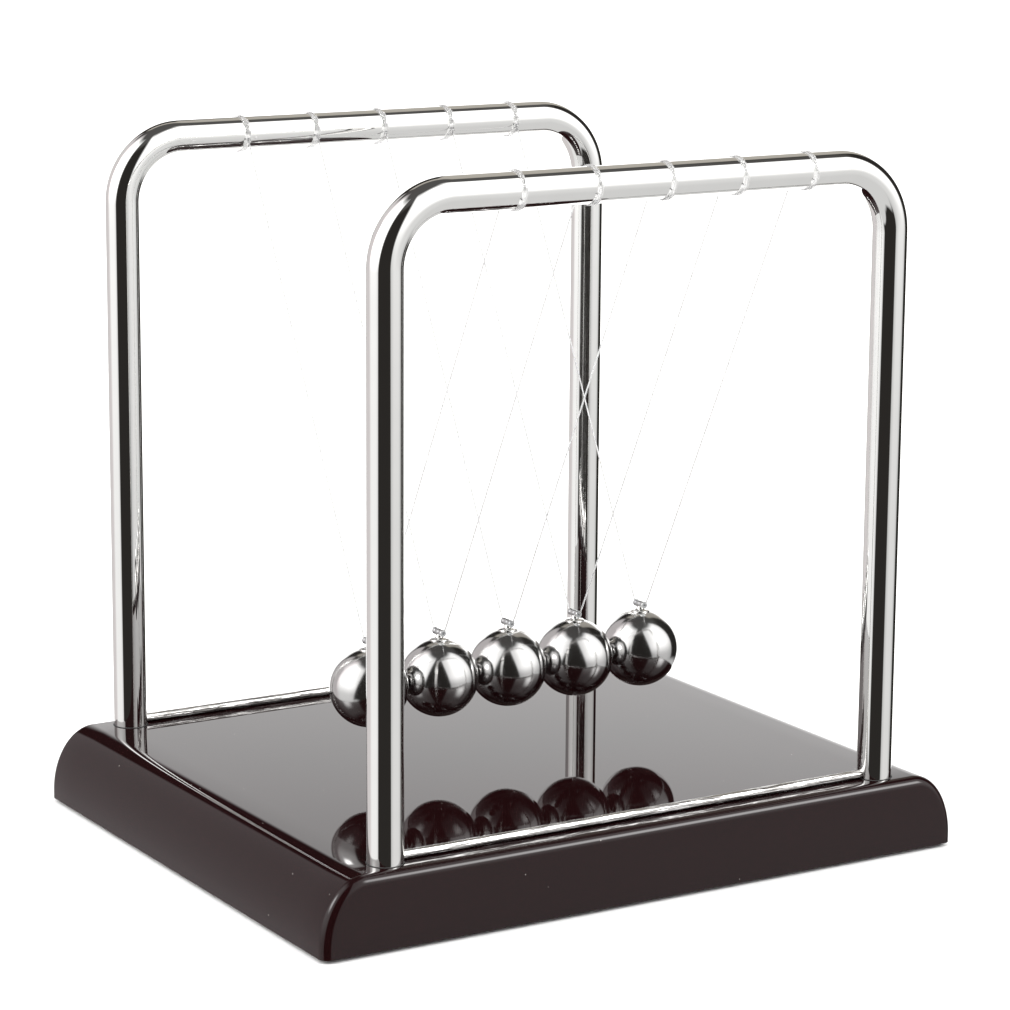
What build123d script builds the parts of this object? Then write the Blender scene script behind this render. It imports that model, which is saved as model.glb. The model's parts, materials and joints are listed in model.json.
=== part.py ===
from build123d import *
import math
import os

# Desk-top Newton's cradle. Five steel balls hang in a row, each in a V of clear nylon
# line between two bent tube frames that stand on a heavy lacquered base.
# Millimetres. +Z is up, +X runs along the row of balls, the front of the base faces -Y.
# The origin is on the table, under the middle of the base.

# Base
BASE_W, BASE_D, BASE_H = 180.0, 150.0, 18.5
FOOT_PROUD = 1.0  # the rubber feet hold the base this far off the table
ROLL_X, ROLL_Z = 11.5, 16.5  # the quarter ellipse that rolls down each end
EDGE_R = 2.4  # round-over of the front and back edges
TOP_WALL, SIDE_WALL = 3.0, 5.0
COVER_T, COVER_GAP = 2.0, 0.1
FOOT_R, FOOT_INSET_X, FOOT_INSET_Y = 7.0, 26.0, 20.0
COVER_SCREW_R, COVER_SCREW_HEAD_R, COVER_SCREW_L = 1.5, 2.8, 9.0
COVER_BOSS_R = 4.5

# Tube frames
TUBE_R, TUBE_WALL = 4.35, 1.0
LEG_X, FRAME_Y = 70.0, 68.0  # half spacing of the legs, and of the two frames
BAR_Z = 172.6  # height of the top bar's centreline
BEND_R = 16.0
LEG_SOCKET = 9.0  # how deep a leg stands in the base
SOCKET_CLEAR = 0.05
SOCKET_WEB = 3.0
BOSS_R = 8.0
ROD_R, ROD_IN = 1.1, 2.5  # tie rod, and how far it runs into the leg's wall
SCREW_R, SCREW_HEAD_R, SCREW_HEAD_H = 1.95, 3.3, 2.6
WASHER_R, WASHER_T = 3.6, 0.8

# Balls and their suspension
BALL_COUNT = 5
BALL_R = 10.0
BALL_PITCH = 20.2  # the balls hang a hair apart, so that they touch only as they swing
ROW_X = 4.0  # the row hangs a little to the right of the base's middle
BALL_Z = 40.8
CAP_R, CAP_T, STUD_R, STUD_L = 2.5, 0.5, 0.9, 3.5
NECK_R, NECK_H = 0.9, 0.6
FERRULE_R, FERRULE_L, FERRULE_BORE = 0.9, 4.2, 0.27
LINE_R = 0.2
LINE_BEND_R = 0.9
TURNS, TURN_PITCH = 4, 0.38  # the line's turns round a bar lie side by side
KNOT_R = 0.7
KNOT_DROP = 15.0  # degrees below the bar's centreline, on its inner side
LINE_CLEAR = 0.12  # from the knot to the line that swings under it

BASE_BOTTOM = FOOT_PROUD
BASE_TOP = FOOT_PROUD + BASE_H
SOCKET_Z = BASE_TOP - LEG_SOCKET
ROD_Z = BASE_TOP + ROD_R + 0.02
WRAP_R = TUBE_R + LINE_R + 0.02
KNOT_OUT = WRAP_R + 0.4
KNOT_Y = FRAME_Y - KNOT_OUT * math.cos(math.radians(KNOT_DROP))
PIVOT_Z = BAR_Z - KNOT_OUT * math.sin(math.radians(KNOT_DROP))
FLAT_Z = BALL_Z + math.sqrt(BALL_R**2 - CAP_R**2)  # the flat on top of a ball
FERRULE_Z = FLAT_Z + CAP_T + NECK_H + FERRULE_R
LEGS = [(x, y) for x in (-LEG_X, LEG_X) for y in (-FRAME_Y, FRAME_Y)]
BALL_X = [ROW_X + (i - (BALL_COUNT - 1) / 2) * BALL_PITCH for i in range(BALL_COUNT)]


def rod(radius, low, high, x=0.0, y=0.0):
    """An upright cylinder from one height to another."""
    return Pos(x, y, (low + high) / 2) * Cylinder(radius, high - low)


def along_x(radius, start, end, y, z):
    """A cylinder that lies along X."""
    return Pos((start + end) / 2, y, z) * Rot(0, 90, 0) * Cylinder(radius, abs(end - start))


def along_y(radius, length, x, z):
    """A cylinder that lies along Y, centred on the row."""
    return Pos(x, 0, z) * Rot(90, 0, 0) * Cylinder(radius, length)


def plate(width, depth, low, high, corner):
    """A flat plate with rounded corners."""
    return Pos(0, 0, low) * extrude(RectangleRounded(width, depth, corner), high - low)


def base_block():
    """The solid block: flat on top, its ends rolled down in a quarter ellipse."""
    half, shoulder = BASE_W / 2, BASE_W / 2 - ROLL_X
    low, skirt = BASE_BOTTOM, BASE_TOP - ROLL_Z
    outline = Line((-half, low), (half, low))
    outline += Line((half, low), (half, skirt))
    outline += EllipticalCenterArc((shoulder, skirt), ROLL_X, ROLL_Z, 0, arc_size=90)
    outline += Line((shoulder, BASE_TOP), (-shoulder, BASE_TOP))
    outline += EllipticalCenterArc((-shoulder, skirt), ROLL_X, ROLL_Z, 90, arc_size=90)
    outline += Line((-half, skirt), (-half, low))
    face = Plane.XZ * make_face(outline)
    block = extrude(face, BASE_D / 2, both=True)
    edges = block.faces().sort_by(Axis.Y)
    rim = edges[0].edges() + edges[-1].edges()
    rim = [e for e in rim if e.center().Z > BASE_BOTTOM + 0.1]
    return fillet(rim, EDGE_R)


def cover_corners():
    """Where the cover's screws go."""
    reach_x, reach_y = BASE_W / 2 - 24.0, BASE_D / 2 - 40.0
    return [(x, y) for x in (-reach_x, reach_x) for y in (-reach_y, reach_y)]


def base_shell():
    """The moulded base: a skin with a boss under each leg and each cover screw."""
    pocket_w, pocket_d = BASE_W - 2 * ROLL_X - 4.0, BASE_D - 2 * SIDE_WALL
    pocket = plate(pocket_w, pocket_d, BASE_BOTTOM, BASE_TOP - TOP_WALL, 5.0)
    bosses = [rod(BOSS_R, SOCKET_Z - SOCKET_WEB, BASE_TOP, x, y) for x, y in LEGS]
    bosses += [
        rod(COVER_BOSS_R, BASE_BOTTOM + COVER_T, BASE_TOP, x, y) for x, y in cover_corners()
    ]
    shell = base_block() - (pocket - bosses)
    recess_w, recess_d = pocket_w + 4.0, pocket_d + 4.0
    shell -= plate(recess_w, recess_d, BASE_BOTTOM, BASE_BOTTOM + COVER_T, 7.0)
    shell -= [rod(TUBE_R + SOCKET_CLEAR, SOCKET_Z, BASE_TOP + 1, x, y) for x, y in LEGS]
    shell -= [rod(SCREW_R + 0.2, 0, SOCKET_Z + 1, x, y) for x, y in LEGS]
    head_room = SOCKET_Z - SOCKET_WEB
    shell -= [rod(WASHER_R + 0.2, BASE_BOTTOM, head_room, x, y) for x, y in LEGS]
    screw_top = BASE_BOTTOM + COVER_SCREW_L
    shell -= [rod(COVER_SCREW_R, 0, screw_top + 0.5, x, y) for x, y in cover_corners()]
    return shell


def base_cover():
    """The plate that closes the underside."""
    width = BASE_W - 2 * ROLL_X - 2 * COVER_GAP
    depth = BASE_D - 2 * SIDE_WALL + 4.0 - 2 * COVER_GAP
    cover = plate(width, depth, BASE_BOTTOM, BASE_BOTTOM + COVER_T, 7.0)
    for x, y in cover_corners():
        cover -= rod(COVER_SCREW_R + 0.1, 0, 10, x, y)
        cover -= Pos(x, y, BASE_BOTTOM + 0.7) * Cone(
            COVER_SCREW_HEAD_R + 0.1, COVER_SCREW_R + 0.1, 1.4
        )
    return cover


def rubber_foot(x, y):
    """A low round pad with a softened edge, stuck to the cover."""
    pad = rod(FOOT_R, 0, FOOT_PROUD, x, y)
    return fillet(pad.edges().sort_by(Axis.Z)[0], 0.4)


def cover_screw(x, y):
    """A countersunk screw with a straight drive slot."""
    head = Pos(x, y, BASE_BOTTOM + 0.7) * Cone(COVER_SCREW_HEAD_R, COVER_SCREW_R - 0.05, 1.4)
    shank = rod(COVER_SCREW_R - 0.05, BASE_BOTTOM + 1.3, BASE_BOTTOM + COVER_SCREW_L, x, y)
    return head + shank - Pos(x, y, BASE_BOTTOM) * Box(2 * COVER_SCREW_HEAD_R + 1, 0.7, 1.2)


def leg_screw(x, y):
    """The pan-head screw that pulls a leg down into its socket."""
    seat = SOCKET_Z - SOCKET_WEB - WASHER_T
    head = rod(SCREW_HEAD_R, seat - SCREW_HEAD_H, seat, x, y)
    head = fillet(head.edges().sort_by(Axis.Z)[0], 1.0)
    screw = head + rod(SCREW_R, seat, SOCKET_Z + 7.0, x, y)
    for turn in (0, 90):
        screw -= Pos(x, y, seat - SCREW_HEAD_H) * Rot(0, 0, turn) * Box(3.6, 0.8, 2.4)
    return screw


def leg_washer(x, y):
    seat = SOCKET_Z - SOCKET_WEB
    return rod(WASHER_R, seat - WASHER_T, seat, x, y) - rod(SCREW_R + 0.2, 0, 20, x, y)


def leg_plug(x, y):
    """The tapped insert pressed into the end of a leg."""
    plug = rod(TUBE_R - TUBE_WALL - 0.02, SOCKET_Z, SOCKET_Z + LEG_SOCKET - 0.6, x, y)
    return plug - rod(SCREW_R + 0.05, 0, SOCKET_Z + 7.5, x, y)


def frame_tube(y):
    """One tube bent into an upside-down U, and drilled for its tie rod."""
    high = BAR_Z - BEND_R
    tube = None
    for side in (-1, 1):
        leg = rod(TUBE_R, SOCKET_Z, high, side * LEG_X, y)
        leg -= rod(TUBE_R - TUBE_WALL, SOCKET_Z - 1, high + 1, side * LEG_X, y)
        ring = Circle(TUBE_R) - Circle(TUBE_R - TUBE_WALL)
        axis = Axis((side * (LEG_X - BEND_R), y, high), (0, 1, 0))
        bend = revolve(Pos(side * LEG_X, y, high) * ring, axis, -side * 90)
        inner = along_x(ROD_R + 0.05, side * (LEG_X - TUBE_R - 1), side * LEG_X, y, ROD_Z)
        piece = leg - inner + bend
        tube = piece if tube is None else tube + piece
    bar = along_x(TUBE_R, -LEG_X + BEND_R, LEG_X - BEND_R, y, BAR_Z)
    bar -= along_x(TUBE_R - TUBE_WALL, -LEG_X, LEG_X, y, BAR_Z)
    return tube + bar


def tie_rod(y):
    """The thin rod that lies on the base and joins the two legs of a frame."""
    reach = LEG_X - TUBE_R + ROD_IN
    return along_x(ROD_R, -reach, reach, y, ROD_Z)


def wrap(x, side):
    """Line wound round a bar: turns side by side, and the knot on the bar's inner side."""
    offsets = [(i - (TURNS - 1) / 2) * TURN_PITCH for i in range(TURNS)]
    shape = Pos(x, side * KNOT_Y, PIVOT_Z) * Sphere(KNOT_R)
    shape -= along_x(TUBE_R + 0.02, x - 4, x + 4, side * FRAME_Y, BAR_Z)
    for offset in offsets:
        shape += Pos(x + offset, side * FRAME_Y, BAR_Z) * Rot(0, 90, 0) * Torus(WRAP_R, LINE_R)
    return shape


def line(x):
    """One line: down from the front knot, through the ferrule, up to the rear knot."""
    low_y = FERRULE_L / 2 + 0.3
    run = Vector(0, KNOT_Y - low_y, PIVOT_Z - FERRULE_Z).normalized()
    start = Vector(x, KNOT_Y, PIVOT_Z) - run * (KNOT_R + LINE_CLEAR)
    points = [
        (x, -start.Y, start.Z),
        (x, -low_y, FERRULE_Z),
        (x, low_y, FERRULE_Z),
        (x, start.Y, start.Z),
    ]
    path = FilletPolyline(*points, radius=LINE_BEND_R)
    section = Plane(origin=path @ 0, z_dir=path % 0) * Circle(LINE_R)
    return sweep(section, path)


def ball(x):
    """A ball with a small flat on top, drilled for its cap's stud."""
    body = Pos(x, 0, BALL_Z) * Sphere(BALL_R)
    body -= Pos(x, 0, FLAT_Z + 5) * Box(20, 20, 10)
    return body - rod(STUD_R + 0.02, FLAT_Z - STUD_L - 0.3, FLAT_Z + 1, x)


def ball_cap(x):
    """The round cap on a ball: a stud below, and a neck that carries the ferrule."""
    low = FLAT_Z
    cap = rod(CAP_R - 0.05, low, low + CAP_T, x)
    cap = chamfer(cap.edges().sort_by(Axis.Z)[-1], 0.2)
    cap += rod(STUD_R, low - STUD_L, low, x) + rod(NECK_R, low, FERRULE_Z, x)
    return cap - along_y(FERRULE_R + 0.01, 2 * CAP_R, x, FERRULE_Z)


def ferrule(x):
    """The little barrel across the row that the line runs through."""
    barrel = along_y(FERRULE_R, FERRULE_L, x, FERRULE_Z)
    barrel = chamfer(barrel.edges().filter_by(GeomType.CIRCLE), 0.15)
    return barrel - along_y(FERRULE_BORE, FERRULE_L + 1, x, FERRULE_Z)


def group(make, places):
    """The same fastener at several places, as separate solids of one node."""
    return Compound(children=[Part() + make(x, y) for x, y in places])


def main():
    feet_x, feet_y = BASE_W / 2 - FOOT_INSET_X, BASE_D / 2 - FOOT_INSET_Y
    nodes = {
        "base_shell": base_shell(),
        "base_cover": base_cover(),
        "foot_front_left": rubber_foot(-feet_x, -feet_y),
        "foot_front_right": rubber_foot(feet_x, -feet_y),
        "foot_rear_left": rubber_foot(-feet_x, feet_y),
        "foot_rear_right": rubber_foot(feet_x, feet_y),
        "cover_screws": group(cover_screw, cover_corners()),
        "leg_screws": group(leg_screw, LEGS),
        "leg_washers": group(leg_washer, LEGS),
        "leg_plugs": group(leg_plug, LEGS),
    }
    for side, name in ((-1, "front"), (1, "rear")):
        nodes[f"{name}_frame_tube"] = frame_tube(side * FRAME_Y)
        nodes[f"{name}_tie_rod"] = tie_rod(side * FRAME_Y)
        for number, x in enumerate(BALL_X, 1):
            nodes[f"{name}_wrap_{number}"] = wrap(x, side)
    for number, x in enumerate(BALL_X, 1):
        nodes[f"line_{number}"] = line(x)
        nodes[f"ball_{number}"] = ball(x)
        nodes[f"ball_cap_{number}"] = ball_cap(x)
        nodes[f"ferrule_{number}"] = ferrule(x)
    os.makedirs("parts", exist_ok=True)
    for name, shape in nodes.items():
        export_step(shape, f"parts/{name}.step")
    print(f"{len(nodes)} nodes, pivots at z {PIVOT_Z:.3f}, x", [round(x, 2) for x in BALL_X])
    print(f"line radii {LINE_BEND_R}, ferrule z {FERRULE_Z:.3f}, knot y {KNOT_Y:.3f}")


main()
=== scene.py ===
import json
import math

import bmesh
import bpy
from mathutils import Matrix, Vector


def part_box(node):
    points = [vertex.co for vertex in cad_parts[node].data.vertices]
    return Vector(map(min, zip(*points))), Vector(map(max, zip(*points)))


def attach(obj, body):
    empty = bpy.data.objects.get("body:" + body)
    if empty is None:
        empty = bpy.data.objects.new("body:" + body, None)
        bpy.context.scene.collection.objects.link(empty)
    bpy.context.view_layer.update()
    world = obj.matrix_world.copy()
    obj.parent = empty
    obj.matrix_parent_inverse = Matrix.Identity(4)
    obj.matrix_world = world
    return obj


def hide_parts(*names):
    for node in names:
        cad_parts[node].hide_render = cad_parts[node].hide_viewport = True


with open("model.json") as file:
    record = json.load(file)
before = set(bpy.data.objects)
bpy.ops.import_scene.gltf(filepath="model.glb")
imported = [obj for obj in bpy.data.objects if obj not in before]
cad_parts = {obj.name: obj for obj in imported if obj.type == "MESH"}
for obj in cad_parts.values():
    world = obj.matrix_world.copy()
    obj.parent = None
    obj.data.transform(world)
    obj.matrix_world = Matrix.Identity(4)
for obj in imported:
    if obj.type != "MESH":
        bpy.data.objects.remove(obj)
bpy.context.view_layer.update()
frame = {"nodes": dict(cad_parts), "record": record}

MM = 0.001
TAU = 2 * math.pi
SIDES = {"front": -1, "rear": 1}  # the sign of y on each side
BALLS = range(1, 6)


# ---------------------------------------------------------------- places from the frame
def span(node):
    """A node's middle and its size."""
    low, high = (Vector(corner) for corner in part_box(node))
    return (low + high) / 2, high - low


BASE_MID, BASE_SIZE = span("base_shell")
BASE_TOP = BASE_MID.z + BASE_SIZE.z / 2
BASE_LOW = BASE_MID.z - BASE_SIZE.z / 2
ROLL_X, ROLL_Z = 11.5 * MM, 16.5 * MM  # the rolled-down ends, as wide and as deep as this
EDGE_R = 2.4 * MM  # rounding of the front and rear edges
SKIRT = 1 * MM  # the lowest part of each end stands upright
COVER_CORNER_R, COVER_DEPTH, COVER_GAP = 7 * MM, 2 * MM, 0.1 * MM

TUBE_MID, TUBE_SIZE = span("front_frame_tube")
TUBE_R = TUBE_SIZE.y / 2
FRAME_Y = abs(TUBE_MID.y)
BAR_Z = TUBE_MID.z + TUBE_SIZE.z / 2 - TUBE_R
LEG_X = TUBE_SIZE.x / 2 - TUBE_R
LEG_FOOT = TUBE_MID.z - TUBE_SIZE.z / 2
BEND_R = 16 * MM  # at the tube's centreline
ROD_MID, ROD_SIZE = span("front_tie_rod")
ROD_R = ROD_SIZE.z / 2
ROD_IN_LEG = 1 * MM  # each end of a rod reaches this far into its leg
SHADE_RING_W, SHADE_RING_H = 0.22 * MM, 0.16 * MM  # a thin dark ring where a leg enters the base, drawn in rubber: painted shade in the joint

BALL_R = span("ball_1")[1].x / 2
BALL_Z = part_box("ball_1")[0][2] + BALL_R
FLAT_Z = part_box("ball_1")[1][2]  # the flat on top of a ball, where its cap sits
FLAT_DIP, FLAT_DIP_R = 0.02 * MM, 0.9  # its middle is lower, out to this share of its rim
CAP_R = span("ball_cap_1")[1].x / 2
CAP_NECK_R = 0.9 * MM
FERRULE_MID, FERRULE_SIZE = span("ferrule_1")
FERRULE_BORE_R, FERRULE_BORE_SHOWN = 0.27 * MM, 0.5 * MM  # the bore, and how deep it is drawn

LINE_R = span("line_1")[1].x / 2
PIVOT_Z = {j["child"]: j["pos_m"][2] for j in frame["record"]["behaviour"]["joints"]}["swing_1"]
KNOT_R = 0.7 * MM
KNOT_OUT = TUBE_R + LINE_R + 0.42 * MM  # from the bar's centreline to a knot
KNOT_Y = FRAME_Y - math.sqrt(KNOT_OUT**2 - (BAR_Z - PIVOT_Z) ** 2)
KNOT_CLEAR = 0.12 * MM  # the line starts this far from its knot
MOUTH_OUT, MOUTH_IN = 0.3 * MM, 0.12 * MM  # the line's turn at a mouth of the ferrule
WOUND_TURNS, WOUND_PITCH = 3.6, 0.41 * MM
WOUND_START = math.radians(200)  # round the bar from its inner side, over the top
WOUND_OFF, WOUND_WANDER = 0.01 * MM, 0.03 * MM  # how loosely and unevenly the turns lie
KNOT_LOOP, KNOT_LOBE, KNOT_DEPTH = 0.30 * MM, 0.13 * MM, 0.17 * MM
KNOT_THIN, TAIL_THIN = 0.92, 0.9  # how thin the line is drawn in a knot and its cut end
TAIL_START, TAIL_RUN = Vector((0.25, 0, -0.12)) * MM, Vector((0.5, -0.1, -0.32)) * MM


# ---------------------------------------------------------------- camera
CAMERA_AT = Vector((-448.7, -741.4, 268.8)) * MM
YAW, PITCH, ROLL = math.radians(31.35), math.radians(12.07), math.radians(0.39)
CAMERA_LENS, CAMERA_SENSOR = 125.2, 36.0
CAMERA_CLIP = (0.02, 50.0)


def make_camera():
    level = math.cos(PITCH)
    ahead = Vector((math.sin(YAW) * level, math.cos(YAW) * level, -math.sin(PITCH)))
    right = Vector((math.cos(YAW), -math.sin(YAW), 0))
    up = right.cross(ahead)
    right, up = (
        right * math.cos(ROLL) + up * math.sin(ROLL),
        up * math.cos(ROLL) - right * math.sin(ROLL),
    )
    data = bpy.data.cameras.new("camera")
    data.lens, data.sensor_width = CAMERA_LENS, CAMERA_SENSOR
    data.clip_start, data.clip_end = CAMERA_CLIP
    camera = bpy.data.objects.new("camera", data)
    turn = Matrix((right, up, -ahead)).transposed().to_4x4()
    camera.matrix_world = Matrix.Translation(CAMERA_AT) @ turn
    bpy.context.collection.objects.link(camera)
    bpy.context.scene.camera = camera


# ---------------------------------------------------------------- node trees
class Nodes:
    """A node tree under construction; each call adds a node and links its inputs."""

    def __init__(self, tree):
        self.tree = tree
        tree.nodes.clear()

    def new(self, kind, inputs=None, **settings):
        """A node with its settings and inputs made."""
        node = self.tree.nodes.new(kind)
        for key, value in settings.items():
            setattr(node, key, value)
        for key, value in (inputs or {}).items():
            if isinstance(value, bpy.types.NodeSocket):
                self.tree.links.new(value, node.inputs[key])
            else:
                node.inputs[key].default_value = value
        return node

    def add(self, kind, out=0, inputs=None, **settings):
        """The same, giving one of the node's outputs, or the node if it has none."""
        node = self.new(kind, inputs, **settings)
        return node.outputs[out] if node.outputs else node

    def math(self, operation, *values):
        return self.add("ShaderNodeMath", inputs=dict(enumerate(values)), operation=operation)

    def product(self, *factors):
        total = factors[0]
        for factor in factors[1:]:
            total = self.math("MULTIPLY", total, factor)
        return total

    def between(self, factor, low, high):
        """Low where the factor is 0, high where it is 1."""
        return self.math("MULTIPLY_ADD", factor, high - low, low)

    def ramp(self, value, low, high, to_low=0.0, to_high=1.0):
        """A smooth step of the value."""
        return self.add(
            "ShaderNodeMapRange",
            inputs={0: value, 1: low, 2: high, 3: to_low, 4: to_high},
            interpolation_type="SMOOTHSTEP",
        )

    def fall(self, value, low, high, to=0.0):
        """A smooth step down from 1."""
        return self.ramp(value, low, high, 1.0, to)

    def band(self, value, middle, hold, fade, to=0.0):
        """1 within hold of the middle, falling smoothly as far as fade."""
        apart = self.math("ABSOLUTE", self.math("SUBTRACT", value, middle))
        return self.fall(apart, hold, fade, to)

    def mix(self, factor, a, b):
        """The mix of two colours; an RGBA mix has its inputs and output at these places."""
        return self.add(
            "ShaderNodeMix", out=2, inputs={0: factor, 6: a, 7: b}, data_type="RGBA"
        )


def rgb(red, green, blue):
    return (red, green, blue, 1.0)


def grey(level):
    return rgb(level, level, level)


# ---------------------------------------------------------------- the studio
# Bearings are degrees round the object from where the camera stands, and are the same on
# either side. Lifts are degrees above the horizon. A pair of numbers in brackets is where a
# smooth step starts and ends; round a middle, both are distances from it. Levels are linear.
BOX_INNER_RIGHT, BOX_INNER_LEFT = 31.0, 36.0  # bearing of a box's inner edge at the horizon
BOX_INNER_LEAN = -0.28  # the inner edges close in as they rise, by this for each degree
BOX_INNER_FADE = (-2.0, 5.0)
BOX_OUTER_RIGHT = (106.0, 112.0)
BOX_OUTER_LEFT, BOX_OUTER_FADE = 104.0, (0.0, 6.0)
BOX_OUTER_FURTHER, BOX_FURTHER_ABOVE = 18.0, (30.0, 34.0)  # the left box widens upwards
BOX_LEFT_DIMS, BOX_LEFT_DIM = (98.0, 126.0), 0.4
BOX_FOOT, BOX_FOOT_GAIN = (-40.0, -14.0), 0.1
BOX_CLIMB, BOX_CLIMB_GAIN = (-14.0, 16.0), 1.0
BOX_LEVEL_RIGHT, BOX_LEVEL_LEFT = 0.64, 0.82
BOX_TOP = (58.0, 76.0)
BOX_MIDDLE, BOX_EVEN, BOX_EDGE_LEVEL = 72.0, (12.0, 46.0), 0.66

CORE_BEARING, CORE_WIDTH = 71.0, (3.0, 20.0)
CORE_LIFT, CORE_HEIGHT = 32.0, (3.0, 17.0)
CORE_LEVEL = 10.5

SWEEP_FROM, SWEEP_TOP = (147.0, 153.0), (18.0, 25.0)
SWEEP_LIFTS, SWEEP_LOW, SWEEP_HIGH = (14.5, 18.5), 1.6, 1.25
SWEEP_ACROSS, SWEEP_AT_LEFT, SWEEP_AT_RIGHT = (-0.12, 0.12), 0.98, 1.06

RISE_FROM, RISE_TOP, RISE_LEVEL = (145.0, 151.0), (54.0, 60.0), 0.46
RISE_FOOT_RIGHT, RISE_FOOT_LEFT = (-2.0, 2.0), (42.0, 48.0)
RISE_TINTED_FROM, RISE_TINTED_ABOVE = 0.1, (18.0, 26.0)  # a level, and lifts

WALL_FROM, WALL_UNTIL = (92.0, 100.0), (143.0, 147.0)
WALL_TOP, WALL_LEVEL = (42.0, 50.0), 0.66

FLOOR_BELOW, FLOOR_LEVEL = (-18.0, -27.0), 0.66
FLOOR_DROP, FLOOR_DROPS = 16.0, (8.0, 34.0)  # degrees lower where the camera stands

DARK_LIFTS, DARK_LOW, DARK_HIGH = (44.0, 57.0), 0.0245, 0.085
DARK_TINTED = (0.03, 0.12)  # levels

TONE_BOX = rgb(1.0, 0.996, 0.992)
TONE_WALL = rgb(1.0, 0.945, 0.95)
TONE_RISE = rgb(1.0, 0.94, 0.84)
TONE_DARK = rgb(1.0, 0.91, 0.84)
PAPER_LEVEL = 1.15  # the plain background that only the camera sees


class Studio(Nodes):
    """The world's tree, with the directions that its lights are placed by."""

    def __init__(self, tree):
        super().__init__(tree)
        turned = self.add(
            "ShaderNodeVectorRotate",
            inputs={"Vector": self.add("ShaderNodeTexCoord", out=0), "Angle": YAW},
            rotation_type="Z_AXIS",
        )
        self.across, away, up = self.new("ShaderNodeSeparateXYZ", inputs={0: turned}).outputs
        degrees = 180 / math.pi
        bearing = self.math("ARCTAN2", self.across, self.math("MULTIPLY", away, -1.0))
        bearing = self.math("MULTIPLY", bearing, degrees)
        self.lift = self.math("MULTIPLY", self.math("ARCSINE", up), degrees)
        self.bearing = self.math("ABSOLUTE", bearing)
        self.left = self.math("LESS_THAN", bearing, 0.0)

    def either(self, on_right, on_left):
        """The right value, or the left one on that side."""
        more = self.math("SUBTRACT", on_left, on_right)
        return self.math("MULTIPLY_ADD", more, self.left, on_right)

    def boxes(self):
        """The soft boxes and their hot cores."""
        inner = self.either(BOX_INNER_RIGHT, BOX_INNER_LEFT)
        inner = self.math("MULTIPLY_ADD", self.lift, BOX_INNER_LEAN, inner)
        inside = self.ramp(self.math("SUBTRACT", self.bearing, inner), *BOX_INNER_FADE)
        further = self.ramp(self.lift, *BOX_FURTHER_ABOVE)
        reach = self.math("MULTIPLY_ADD", further, BOX_OUTER_FURTHER, BOX_OUTER_LEFT)
        outer = self.either(
            self.fall(self.bearing, *BOX_OUTER_RIGHT),
            self.product(
                self.fall(self.math("SUBTRACT", self.bearing, reach), *BOX_OUTER_FADE),
                self.fall(self.bearing, *BOX_LEFT_DIMS, to=BOX_LEFT_DIM),
            ),
        )
        level = self.math(
            "ADD",
            self.ramp(self.lift, *BOX_FOOT, 0.0, BOX_FOOT_GAIN),
            self.ramp(self.lift, *BOX_CLIMB, 0.0, BOX_CLIMB_GAIN),
        )
        level = self.math("ADD", level, self.either(BOX_LEVEL_RIGHT, BOX_LEVEL_LEFT))
        box = self.product(
            inside,
            outer,
            level,
            self.fall(self.lift, *BOX_TOP),
            self.band(self.bearing, BOX_MIDDLE, *BOX_EVEN, to=BOX_EDGE_LEVEL),
        )
        core = self.product(
            self.band(self.bearing, CORE_BEARING, *CORE_WIDTH),
            self.band(self.lift, CORE_LIFT, *CORE_HEIGHT),
        )
        return self.math("MULTIPLY_ADD", core, CORE_LEVEL, box)

    def sweep(self):
        """The low white sweep behind the object."""
        return self.product(
            self.ramp(self.bearing, *SWEEP_FROM),
            self.fall(self.lift, *SWEEP_TOP),
            self.ramp(self.lift, *SWEEP_LIFTS, SWEEP_LOW, SWEEP_HIGH),
            self.ramp(self.across, *SWEEP_ACROSS, SWEEP_AT_LEFT, SWEEP_AT_RIGHT),
        )

    def rise(self):
        """The dim wall above the sweep, hidden on the left up to well above it."""
        foot = [self.either(*ends) for ends in zip(RISE_FOOT_RIGHT, RISE_FOOT_LEFT)]
        return self.product(
            self.ramp(self.bearing, *RISE_FROM),
            self.fall(self.lift, *RISE_TOP),
            self.ramp(self.lift, *foot),
            RISE_LEVEL,
        )

    def beside(self):
        """1 in the directions of the left wall, between the left box and the sweep."""
        return self.product(
            self.ramp(self.bearing, *WALL_FROM), self.fall(self.bearing, *WALL_UNTIL), self.left
        )

    def floor(self):
        """The pale floor, which starts lower on the side where the camera stands."""
        sunk = self.math("ADD", self.lift, self.ramp(self.bearing, *FLOOR_DROPS, FLOOR_DROP, 0.0))
        return self.math("MULTIPLY", self.ramp(sunk, *FLOOR_BELOW), FLOOR_LEVEL)


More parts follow.
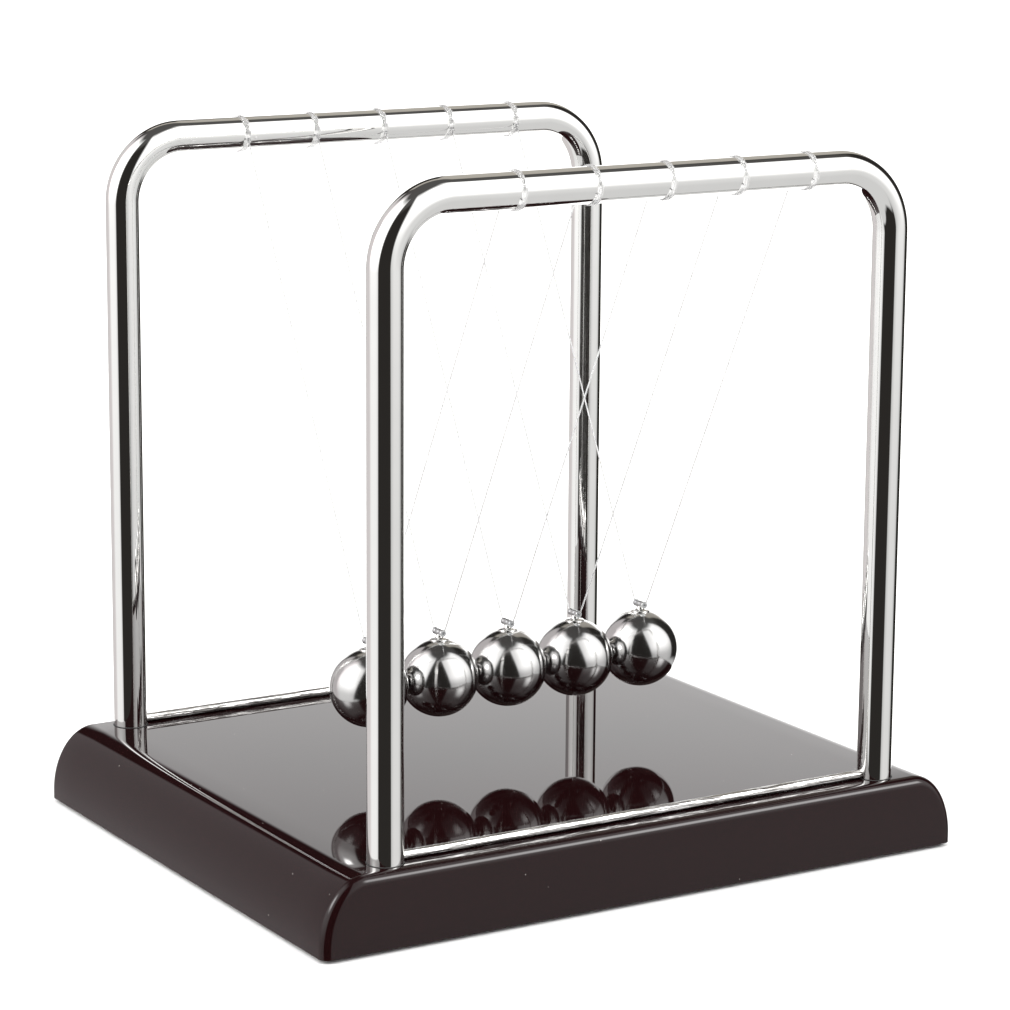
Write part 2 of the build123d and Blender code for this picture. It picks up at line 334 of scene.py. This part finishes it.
def make_world():
    """A studio round the object: a tall soft box on each side, each with a hot core, a low
    white sweep behind with a dim wall above it, another wall on the left, a pale floor, and
    darkness overhead and where the camera stands."""
    world = bpy.data.worlds.new("studio")
    world.use_nodes = True
    bpy.context.scene.world = world
    n = Studio(world.node_tree)
    rise, beside = n.rise(), n.beside()
    wall = n.product(beside, n.ramp(n.lift, *WALL_TOP, WALL_LEVEL, 0.0))
    dark = n.ramp(n.lift, *DARK_LIFTS, DARK_LOW, DARK_HIGH)
    total = n.boxes()
    for part in (n.sweep(), rise, wall, n.floor(), dark):
        total = n.math("MAXIMUM", total, part)
    tone = n.mix(beside, TONE_BOX, TONE_WALL)
    tone = n.mix(n.fall(total, *DARK_TINTED), tone, TONE_DARK)
    on_rise = n.math("GREATER_THAN", rise, RISE_TINTED_FROM)
    tone = n.mix(n.product(on_rise, n.ramp(n.lift, *RISE_TINTED_ABOVE)), tone, TONE_RISE)
    studio = n.add("ShaderNodeBackground", inputs={0: tone, 1: total})
    paper = n.add("ShaderNodeBackground", inputs={0: grey(1.0), 1: PAPER_LEVEL})
    seen = n.add("ShaderNodeLightPath", out=0)
    shown = n.add("ShaderNodeMixShader", inputs={0: seen, 1: studio, 2: paper})
    n.add("ShaderNodeOutputWorld", inputs={0: shown})


FILL_POWER, FILL_ANGLE = 2.6, math.radians(120)
FLOOR_HALF, FLOOR_CELLS = 6.0, 8


def make_fill():
    """A very wide, weak fill that keeps the floor evenly white and stays out of mirrors."""
    data = bpy.data.lights.new("fill", "SUN")
    data.energy, data.angle = FILL_POWER, FILL_ANGLE
    light = bpy.data.objects.new("fill", data)
    light.visible_glossy = False
    light.visible_transmission = False
    bpy.context.collection.objects.link(light)


def make_floor(finish):
    """The paper under the object, kept out of mirrors, where the studio's floor stands in."""
    mesh = bpy.data.meshes.new("floor")
    bm = bmesh.new()
    bmesh.ops.create_grid(bm, x_segments=FLOOR_CELLS, y_segments=FLOOR_CELLS, size=FLOOR_HALF)
    bm.to_mesh(mesh)
    bm.free()
    mesh.materials.append(finish)
    floor = bpy.data.objects.new("floor", mesh)
    floor.visible_glossy = False
    bpy.context.collection.objects.link(floor)


# ---------------------------------------------------------------- materials
def material(name):
    made = bpy.data.materials.new(name)
    made.use_nodes = True
    return made, Nodes(made.node_tree)


def place(n, scale):
    """Object coordinates in millimetres, times a scale or one scale for each axis."""
    scales = scale if isinstance(scale, tuple) else (scale,) * 3
    return n.add(
        "ShaderNodeMapping",
        inputs={
            "Vector": n.add("ShaderNodeTexCoord", out=3),
            "Scale": tuple(s / MM for s in scales),
        },
    )


def noise(n, scale, detail=3.0, rough=0.55):
    return n.add(
        "ShaderNodeTexNoise",
        inputs={"Vector": place(n, scale), "Scale": 1.0, "Detail": detail, "Roughness": rough},
    )


def specks(n, cell, radius, sparse=(0.66, 0.68)):
    """Round specks, one in about every three cells of this size, in millimetres."""
    cells = n.new("ShaderNodeTexVoronoi", inputs={"Vector": place(n, 1 / cell), "Scale": 1.0})
    chance = n.add("ShaderNodeSeparateColor", inputs={0: cells.outputs["Color"]})
    dot = n.fall(cells.outputs["Distance"], radius * 0.4, radius)
    return n.math("MULTIPLY", dot, n.ramp(chance, *sparse))


def bump(n, height, strength, depth):
    """Relief of this depth in millimetres."""
    return n.add(
        "ShaderNodeBump", inputs={"Height": height, "Strength": strength, "Distance": depth * MM}
    )


def surface(n, **inputs):
    shader = n.add(
        "ShaderNodeBsdfPrincipled",
        inputs={name.replace("_", " "): value for name, value in inputs.items()},
    )
    n.add("ShaderNodeOutputMaterial", inputs={0: shader})


def metal(name, tone, rough_low, rough_high, scratch_scale, clouding=0.03):
    """Polished metal: faint clouding, hairline scratches and finger-touch smears."""
    made, n = material(name)
    scratches = n.ramp(noise(n, scratch_scale, detail=4.0, rough=0.7), 0.62, 0.72)
    smears = n.ramp(noise(n, 0.05, detail=5.0, rough=0.6), 0.48, 0.68)
    low, high = (rgb(*(c * k for c in tone)) for k in (1 - clouding, 1 + clouding))
    rough = n.between(smears, rough_low, rough_high)
    surface(
        n,
        Base_Color=n.mix(noise(n, 0.12), low, high),
        Metallic=1.0,
        Roughness=n.math("MULTIPLY_ADD", scratches, 0.02, rough),
        Normal=bump(n, scratches, strength=0.02, depth=0.01),
    )
    return made


def lacquer(name):
    """Thick dark brown lacquer under a clear coat, with orange peel and settled dust."""
    made, n = material(name)
    dust = n.math("MAXIMUM", specks(n, 5.0, 0.038), specks(n, 9.0, 0.026))
    cloud = noise(n, 0.03, detail=2.0)
    body = n.mix(cloud, rgb(0.0076, 0.0018, 0.0021), rgb(0.0092, 0.0026, 0.0029))
    surface(
        n,
        Base_Color=n.mix(dust, body, rgb(0.3, 0.28, 0.26)),
        Roughness=n.between(noise(n, 0.5), 0.5, 0.6),
        Specular_IOR_Level=0.0,
        Coat_Weight=1.0,
        Coat_Roughness=0.012,
        Coat_IOR=1.4,
        Coat_Normal=bump(n, noise(n, 0.22, detail=2.0), strength=0.03, depth=0.03),
    )
    return made


def dipped(name):
    """Plated wire, dulled and rippled along its length where the plating ran."""
    made, n = material(name)
    ripple = noise(n, (0.08, 1.5, 1.5), detail=2.0, rough=0.5)
    worn = n.ramp(noise(n, (0.1, 0.8, 0.8), detail=4.0, rough=0.6), 0.42, 0.62)
    surface(
        n,
        Base_Color=n.mix(worn, rgb(0.62, 0.61, 0.6), rgb(0.34, 0.33, 0.32)),
        Metallic=1.0,
        Roughness=n.between(worn, 0.08, 0.22),
        Normal=bump(n, ripple, strength=1.0, depth=0.4),
    )
    return made


def nylon(name, low, high, clear):
    """Clear drawn monofilament with faint cloudiness along its length."""
    made, n = material(name)
    cloud = noise(n, 1.5)
    surface(
        n,
        Base_Color=n.mix(cloud, grey(low), grey(high)),
        Roughness=n.between(cloud, 0.06, 0.16),
        IOR=1.53,
        Transmission_Weight=clear,
        Normal=bump(n, noise(n, 3.0), strength=0.1, depth=0.02),
    )
    return made


def rubber(name):
    made, n = material(name)
    grain = noise(n, 6.0, detail=6.0, rough=0.6)
    surface(
        n,
        Base_Color=n.mix(grain, grey(0.012), grey(0.03)),
        Roughness=n.between(grain, 0.6, 0.85),
        Normal=bump(n, grain, strength=0.3, depth=0.05),
    )
    return made


def moulded(name):
    """Black plastic with the fine grain of a spark-eroded mould."""
    made, n = material(name)
    grain = noise(n, 9.0, detail=4.0, rough=0.6)
    surface(
        n,
        Base_Color=n.mix(noise(n, 0.1), rgb(0.012, 0.011, 0.011), rgb(0.022, 0.02, 0.02)),
        Roughness=n.between(grain, 0.42, 0.62),
        Normal=bump(n, grain, strength=0.25, depth=0.04),
    )
    return made


def zinc(name):
    """Plated steel with turning marks and a bluish passivated cast."""
    made, n = material(name)
    marks = noise(n, (0.6, 0.6, 9.0), detail=4.0, rough=0.6)
    surface(
        n,
        Base_Color=n.mix(noise(n, 0.5), rgb(0.5, 0.52, 0.55), rgb(0.66, 0.66, 0.64)),
        Metallic=1.0,
        Roughness=n.between(marks, 0.2, 0.4),
        Normal=bump(n, marks, strength=0.15, depth=0.03),
    )
    return made


def paper(name):
    made, n = material(name)
    fibre = noise(n, 0.8, detail=5.0, rough=0.6)
    surface(
        n,
        Base_Color=n.mix(fibre, grey(0.88), grey(0.92)),
        Roughness=0.9,
        Specular_IOR_Level=0.1,
    )
    return made


# ---------------------------------------------------------------- mesh helpers
def mesh_piece(name, bm, finish, body, node=None, crisp=None):
    """Turn a bmesh into a smooth piece that stands for a CAD node, if one is named. Its
    shading stays crisp at edges steeper than crisp, in degrees."""
    bmesh.ops.recalc_face_normals(bm, faces=bm.faces)
    for face in bm.faces:
        face.smooth = True
    mesh = bpy.data.meshes.new(name)
    bm.to_mesh(mesh)
    bm.free()
    mesh.materials.append(finish)
    piece = bpy.data.objects.new(name, mesh)
    bpy.context.collection.objects.link(piece)
    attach(piece, body)
    if node:
        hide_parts(node)
    if crisp:
        mesh.set_sharp_from_angle(angle=math.radians(crisp))


def looped(items):
    """Each item with the next, and the last with the first."""
    return zip(items, items[1:] + items[:1])


def skin(bm, a, b):
    """Quads between two rings of vertices."""
    for (a_this, a_next), (b_this, b_next) in zip(looped(a), looped(b)):
        bm.faces.new((a_this, a_next, b_next, b_this))


def tube(bm, points, radius, sides, ends=True):
    """A round tube along points; the ring's start direction is carried along the path."""
    points = [Vector(p) for p in points]
    aside, rows = None, []
    for i, point in enumerate(points):
        ahead = (points[min(i + 1, len(points) - 1)] - points[max(i - 1, 0)]).normalized()
        if aside is None:
            aside = ahead.orthogonal().normalized()
        aside = (aside - ahead * aside.dot(ahead)).normalized()
        upright = ahead.cross(aside)
        rows.append([
            bm.verts.new(point + (aside * math.cos(t) + upright * math.sin(t)) * radius)
            for t in (TAU * k / sides for k in range(sides))
        ])
    for a, b in zip(rows, rows[1:]):
        skin(bm, a, b)
    if ends:
        bm.faces.new(rows[0][::-1])
        bm.faces.new(rows[-1])
    return rows


def lathe(bm, profile, sides, at, turn=Matrix.Identity(3)):
    """Spin a profile of (radius, height) points round Z; a radius of 0 closes it."""
    rows = []
    for radius, height in profile:
        ring = []
        for k in range(sides if radius else 1):
            t = TAU * k / sides
            spun = Vector((radius * math.cos(t), radius * math.sin(t), height))
            ring.append(bm.verts.new(Vector(at) + turn @ spun))
        rows.append(ring)
    for a, b in zip(rows, rows[1:]):
        for i in range(sides):
            j = (i + 1) % sides
            face = [a[i % len(a)], a[j % len(a)], b[j % len(b)], b[i % len(b)]]
            face = list(dict.fromkeys(face))
            if len(face) > 2:
                bm.faces.new(face)


def arc(centre, radius, start, end, steps):
    """Points (x, z) on an arc, angles in degrees."""
    angles = (math.radians(start + (end - start) * i / steps) for i in range(steps + 1))
    return [(centre[0] + radius * math.cos(t), centre[1] + radius * math.sin(t)) for t in angles]


# ---------------------------------------------------------------- the base
ROLL_STEPS, TOP_STEPS, EDGE_STEPS, DEPTH_STEPS, CORNER_STEPS = 48, 24, 12, 16, 8


def base_outline(inset):
    """The front outline of the base, right skirt to left skirt over the top, set in."""
    half, skirt_top = BASE_SIZE.x / 2, BASE_TOP - ROLL_Z
    shoulder = half - ROLL_X
    rolled = []
    for i in range(ROLL_STEPS + 1):
        t = math.pi / 2 * i / ROLL_STEPS
        out_x, out_z = math.cos(t) / ROLL_X, math.sin(t) / ROLL_Z
        size = math.hypot(out_x, out_z)
        rolled.append((
            shoulder + ROLL_X * math.cos(t) - inset * out_x / size,
            skirt_top + ROLL_Z * math.sin(t) - inset * out_z / size,
        ))
    end = [(half - inset, BASE_LOW), (half - inset, BASE_LOW + SKIRT), *rolled]
    top = [
        (shoulder * (1 - 2 * i / TOP_STEPS), BASE_TOP - inset) for i in range(1, TOP_STEPS)
    ]
    return end + top + [(-x, z) for x, z in end[::-1]]


def base_sections():
    """Depths from front to rear, each with how far the outline is set in there."""
    front = -BASE_SIZE.y / 2
    rounded = []
    for i in range(EDGE_STEPS + 1):
        t = math.pi / 2 * i / EDGE_STEPS
        rounded.append((front + EDGE_R * (1 - math.cos(t)), EDGE_R * (1 - math.sin(t))))
    start = front + EDGE_R
    middle = [(start - 2 * start * i / DEPTH_STEPS, 0.0) for i in range(1, DEPTH_STEPS)]
    return rounded + middle + [(-y, inset) for y, inset in rounded[::-1]]


def make_base(finish):
    """The lacquered block: the outline swept front to back, and a recess for the cover."""
    bm = bmesh.new()
    rows = [
        [bm.verts.new((x, y, z)) for x, z in base_outline(inset)] for y, inset in base_sections()
    ]
    for a, b in zip(rows, rows[1:]):
        for i in range(len(a) - 1):
            bm.faces.new((a[i], a[i + 1], b[i + 1], b[i]))
    bm.faces.new(rows[0][::-1])
    bm.faces.new(rows[-1])

    _, cover_size = span("base_cover")
    corner_x = cover_size.x / 2 + COVER_GAP - COVER_CORNER_R
    corner_y = cover_size.y / 2 + COVER_GAP - COVER_CORNER_R
    recess = []
    for sx, sy, start in ((1, 1, 0), (-1, 1, 90), (-1, -1, 180), (1, -1, 270)):
        centre = (sx * corner_x, sy * corner_y)
        recess += arc(centre, COVER_CORNER_R, start, start + 90, CORNER_STEPS)
    low = [bm.verts.new((x, y, BASE_LOW)) for x, y in recess]
    high = [bm.verts.new((x, y, BASE_LOW + COVER_DEPTH)) for x, y in recess]
    outer = [row[0] for row in rows] + [row[-1] for row in rows[::-1]]
    edges = [bm.edges.get(pair) or bm.edges.new(pair) for pair in looped(outer)]
    edges += [bm.edges.new(pair) for pair in looped(low)]
    bmesh.ops.triangle_fill(bm, edges=edges, use_beauty=True)
    skin(bm, low, high)
    bm.faces.new(high)
    mesh_piece("base_block", bm, finish, "stand", "base_shell", crisp=40)


# ---------------------------------------------------------------- frames
LEG_STEPS, BEND_STEPS, ROD_STEPS = 24, 32, 32
TUBE_SIDES, ROD_SIDES, SHADE_RING_SIDES = 96, 48, 64
# the section of the dark ring of painted shade at a leg's foot, as shares of its width and height
SHADE_RING_SECTION = ((0.0, 0.0), (1.0, 0.0), (1.0, 0.3), (0.7, 0.8), (0.3, 1.0), (0.0, 1.0))


def frame_path():
    """The centreline of a frame in (x, z), left foot to right foot."""
    high, inner = BAR_Z - BEND_R, LEG_X - BEND_R
    leg = [(-LEG_X, LEG_FOOT + (high - LEG_FOOT) * i / LEG_STEPS) for i in range(LEG_STEPS)]
    path = leg + arc((-inner, high), BEND_R, 180, 90, BEND_STEPS)
    path += [(inner * (2 * i / LEG_STEPS - 1), BAR_Z) for i in range(1, LEG_STEPS)]
    path += arc((inner, high), BEND_R, 90, 0, BEND_STEPS)
    return path + [(-x, z) for x, z in leg[::-1]]


def make_frames(finish, wire, shade_ring_finish):
    for side, sign in SIDES.items():
        y = sign * FRAME_Y
        bm = bmesh.new()
        tube(bm, [(x, y, z) for x, z in frame_path()], TUBE_R, TUBE_SIDES)
        node = f"{side}_frame_tube"
        mesh_piece(f"{side}_frame", bm, finish, "stand", node, crisp=40)

        bm = bmesh.new()
        reach = LEG_X - TUBE_R + ROD_IN_LEG
        shares = (2 * i / ROD_STEPS - 1 for i in range(ROD_STEPS + 1))
        points = [(reach * share, y, ROD_MID.z) for share in shares]
        tube(bm, points, ROD_R, ROD_SIDES)
        node = f"{side}_tie_rod"
        mesh_piece(f"{side}_rod", bm, wire, "stand", node, crisp=40)

        # a thin dark ring round each leg's foot, in the rubber finish, paints the shade in the
        # joint with the base
        for end, x in (("left", -LEG_X), ("right", LEG_X)):
            bm = bmesh.new()
            section = [(TUBE_R + out * SHADE_RING_W, up * SHADE_RING_H) for out, up in SHADE_RING_SECTION]
            lathe(bm, section, SHADE_RING_SIDES, (x, y, BASE_TOP))
            mesh_piece(f"{side}_{end}_painted_shade_ring", bm, shade_ring_finish, "stand")


# ---------------------------------------------------------------- balls and lines
BALL_SIDES, BALL_STEPS, CAP_SIDES, FERRULE_SIDES, FERRULE_STEPS = 160, 96, 64, 40, 24
LINE_SIDES, LINE_STEPS, WOUND_STEPS = 12, 40, 220
KNOT_SIDES, KNOT_STEPS, TAIL_STEPS = 10, 96, 6
# places and lengths on a ferrule are shares of its half length, depths are shares of its radius
PINCH_AT, PINCH_WIDTH, PINCH_DEPTH = 0.42, 0.16, 0.1
LIP_LENGTH, LIP_DEPTH = 0.08, 0.07


def ball_profile():
    """Half the section of a ball from its lowest point to the flat on top."""
    top = math.asin((FLAT_Z - BALL_Z) / BALL_R)
    profile = [(0.0, -BALL_R)]
    for i in range(1, BALL_STEPS + 1):
        t = -math.pi / 2 + (top + math.pi / 2) * i / BALL_STEPS
        profile.append((BALL_R * math.cos(t), BALL_R * math.sin(t)))
    rim, height = profile[-1]
    return profile + [(rim * FLAT_DIP_R, height - FLAT_DIP), (0.0, height - FLAT_DIP)]


def cap_profile():
    """Half the section of a cap: a thin disc, hollowed up to a neck that meets the ferrule."""
    neck, bore_z = CAP_NECK_R, FERRULE_MID.z - FLAT_Z
    return [
        (0.0, 0.0),
        (CAP_R, 0.0),
        (CAP_R, 0.22 * MM),
        (CAP_R - 0.08 * MM, 0.36 * MM),
        (CAP_R - 0.35 * MM, 0.46 * MM),
        (neck + 0.5 * MM, 0.52 * MM),
        (neck + 0.15 * MM, 0.66 * MM),
        (neck, 0.9 * MM),
        (neck * 0.96, bore_z - 0.5 * MM),
        (0.0, bore_z - 0.45 * MM),
    ]


def ferrule_profile():
    """Half the section of a drawn tube, pinched in two places where it was crimped."""
    half, radius = FERRULE_SIZE.y / 2, FERRULE_SIZE.x / 2
    wall = []
    for i in range(FERRULE_STEPS + 1):
        s = -1 + 2 * i / FERRULE_STEPS
        pinch = sum(math.exp(-(((s - at) / PINCH_WIDTH) ** 2)) for at in (-PINCH_AT, PINCH_AT))
        lip = min(1.0, (1 - abs(s)) / LIP_LENGTH)
        wall.append((radius * (1 - LIP_DEPTH * (1 - lip) - PINCH_DEPTH * pinch), s * half))
    inside = half - FERRULE_BORE_SHOWN
    bore = [(FERRULE_BORE_R, inside), (FERRULE_BORE_R, half)]
    return [(r, -z) for r, z in bore] + wall + bore[::-1]


def line_path(x):
    """Taut from the front knot to the ferrule, through it, and up to the rear knot."""
    knot = Vector((x, KNOT_Y, PIVOT_Z))
    mouth = Vector((x, FERRULE_SIZE.y / 2 + MOUTH_OUT, FERRULE_MID.z))
    start = knot - (knot - mouth).normalized() * (KNOT_R + KNOT_CLEAR)
    rear = [start.lerp(mouth, i / LINE_STEPS) for i in range(LINE_STEPS)]
    rear.append(mouth - Vector((0, MOUTH_IN, 0)))
    mirror = Matrix.Diagonal((1, -1, 1))
    return [mirror @ point for point in rear] + rear[::-1]


def make_ball(number, finish, cap, crimp, clear):
    x = span(f"ball_{number}")[0].x
    body = f"swing_{number}"
    bm = bmesh.new()
    lathe(bm, ball_profile(), BALL_SIDES, (x, 0, BALL_Z))
    node = f"ball_{number}"
    mesh_piece(f"steel_ball_{number}", bm, finish, body, node, crisp=30)

    bm = bmesh.new()
    lathe(bm, cap_profile(), CAP_SIDES, (x, 0, FLAT_Z))
    mesh_piece(f"cap_{number}", bm, cap, body, f"ball_cap_{number}")

    bm = bmesh.new()
    along_y = Matrix.Rotation(math.radians(90), 3, "X")
    lathe(bm, ferrule_profile(), FERRULE_SIDES, (x, 0, FERRULE_MID.z), along_y)
    node = f"ferrule_{number}"
    mesh_piece(f"crimp_{number}", bm, crimp, body, node, crisp=35)

    bm = bmesh.new()
    tube(bm, line_path(x), LINE_R, LINE_SIDES)
    mesh_piece(f"nylon_{number}", bm, clear, body, f"line_{number}")


def wound_path(x, sign, number):
    """The turns round a bar, a little uneven from ball to ball."""
    radius = TUBE_R + LINE_R + WOUND_OFF
    path = []
    for i in range(WOUND_STEPS + 1):
        turns = WOUND_TURNS * i / WOUND_STEPS
        angle = WOUND_START + TAU * turns
        wander = WOUND_WANDER * math.sin(angle + number)
        path.append((
            x + (turns - WOUND_TURNS / 2) * WOUND_PITCH + wander,
            sign * (FRAME_Y - radius * math.cos(angle)),
            BAR_Z + radius * math.sin(angle),
        ))
    return path


def knot_path(at):
    """A closed trefoil about the size of a pulled-up knot."""
    path = []
    for i in range(KNOT_STEPS):
        t = TAU * i / KNOT_STEPS
        out = KNOT_LOOP + KNOT_LOBE * math.cos(3 * t)
        path.append(at + Vector((
            out * math.cos(2 * t), KNOT_DEPTH * math.sin(3 * t), out * math.sin(2 * t)
        )))
    return path


def tail_path(at, sign, number):
    """The cut end past the knot; it lies on the side that the line never swings to."""
    turned = Matrix.Diagonal((-1 if number == max(BALLS) else 1, sign, 1))
    shares = (i / TAIL_STEPS for i in range(TAIL_STEPS + 1))
    return [at + turned @ (TAIL_START + TAIL_RUN * share) for share in shares]


def make_windings(clear):
    """Each line's end: turns round the bar, then a small knot on the bar's inner side."""
    for side, sign in SIDES.items():
        for number in BALLS:
            node = f"{side}_wrap_{number}"
            x = span(node)[0].x
            knot = Vector((x, sign * KNOT_Y, PIVOT_Z))
            bm = bmesh.new()
            tube(bm, wound_path(x, sign, number), LINE_R, LINE_SIDES)
            rows = tube(bm, knot_path(knot), LINE_R * KNOT_THIN, KNOT_SIDES, ends=False)
            skin(bm, rows[-1], rows[0])
            tube(bm, tail_path(knot, sign, number), LINE_R * TAIL_THIN, KNOT_SIDES)
            mesh_piece(f"{side}_winding_{number}", bm, clear, "stand", node)


# ---------------------------------------------------------------- build
make_camera()
make_world()
make_fill()

CHROME = metal("chrome_plate", (0.93, 0.928, 0.912), 0.012, 0.035, (0.5, 0.5, 6.0))
STEEL = metal("ball_steel", (0.64, 0.635, 0.63), 0.12, 0.17, 1.4)
CAP = metal("cap_nickel", (0.8, 0.79, 0.77), 0.08, 0.14, 3.0)
RUBBER, ZINC = rubber("foot_rubber"), zinc("zinc_plate")

make_floor(paper("paper"))
make_base(lacquer("base_lacquer"))
# the rubber finish also draws the dark rings of painted shade at the legs' feet
make_frames(CHROME, dipped("rod_wire"), RUBBER)
# the free line is a darker, less clear copy of the nylon: painted shade that shows it against the
# pale background
CRIMP, LINE = zinc("crimp_metal"), nylon("line_nylon_painted_shade", 0.62, 0.7, clear=0.66)
for ball in BALLS:
    make_ball(ball, STEEL, CAP, CRIMP, LINE)
# the wound turns are a lighter, clearer copy of the same nylon: painted highlight on the turns
make_windings(nylon("wound_nylon_painted_light", 0.9, 0.96, clear=0.85))

# CAD nodes that are shown as they are, with a better finish
KEPT = {"base_cover": moulded("cover_plastic")}
KEPT |= {node: ZINC for node in ("cover_screws", "leg_screws", "leg_washers", "leg_plugs")}
KEPT |= {f"foot_{side}_{end}": RUBBER for side in SIDES for end in ("left", "right")}
for node, finish in KEPT.items():
    part = frame["nodes"][node]
    part.data.materials.clear()
    part.data.materials.append(finish)

bpy.context.scene.view_settings.view_transform = "Standard"

bpy.context.view_layer.update()
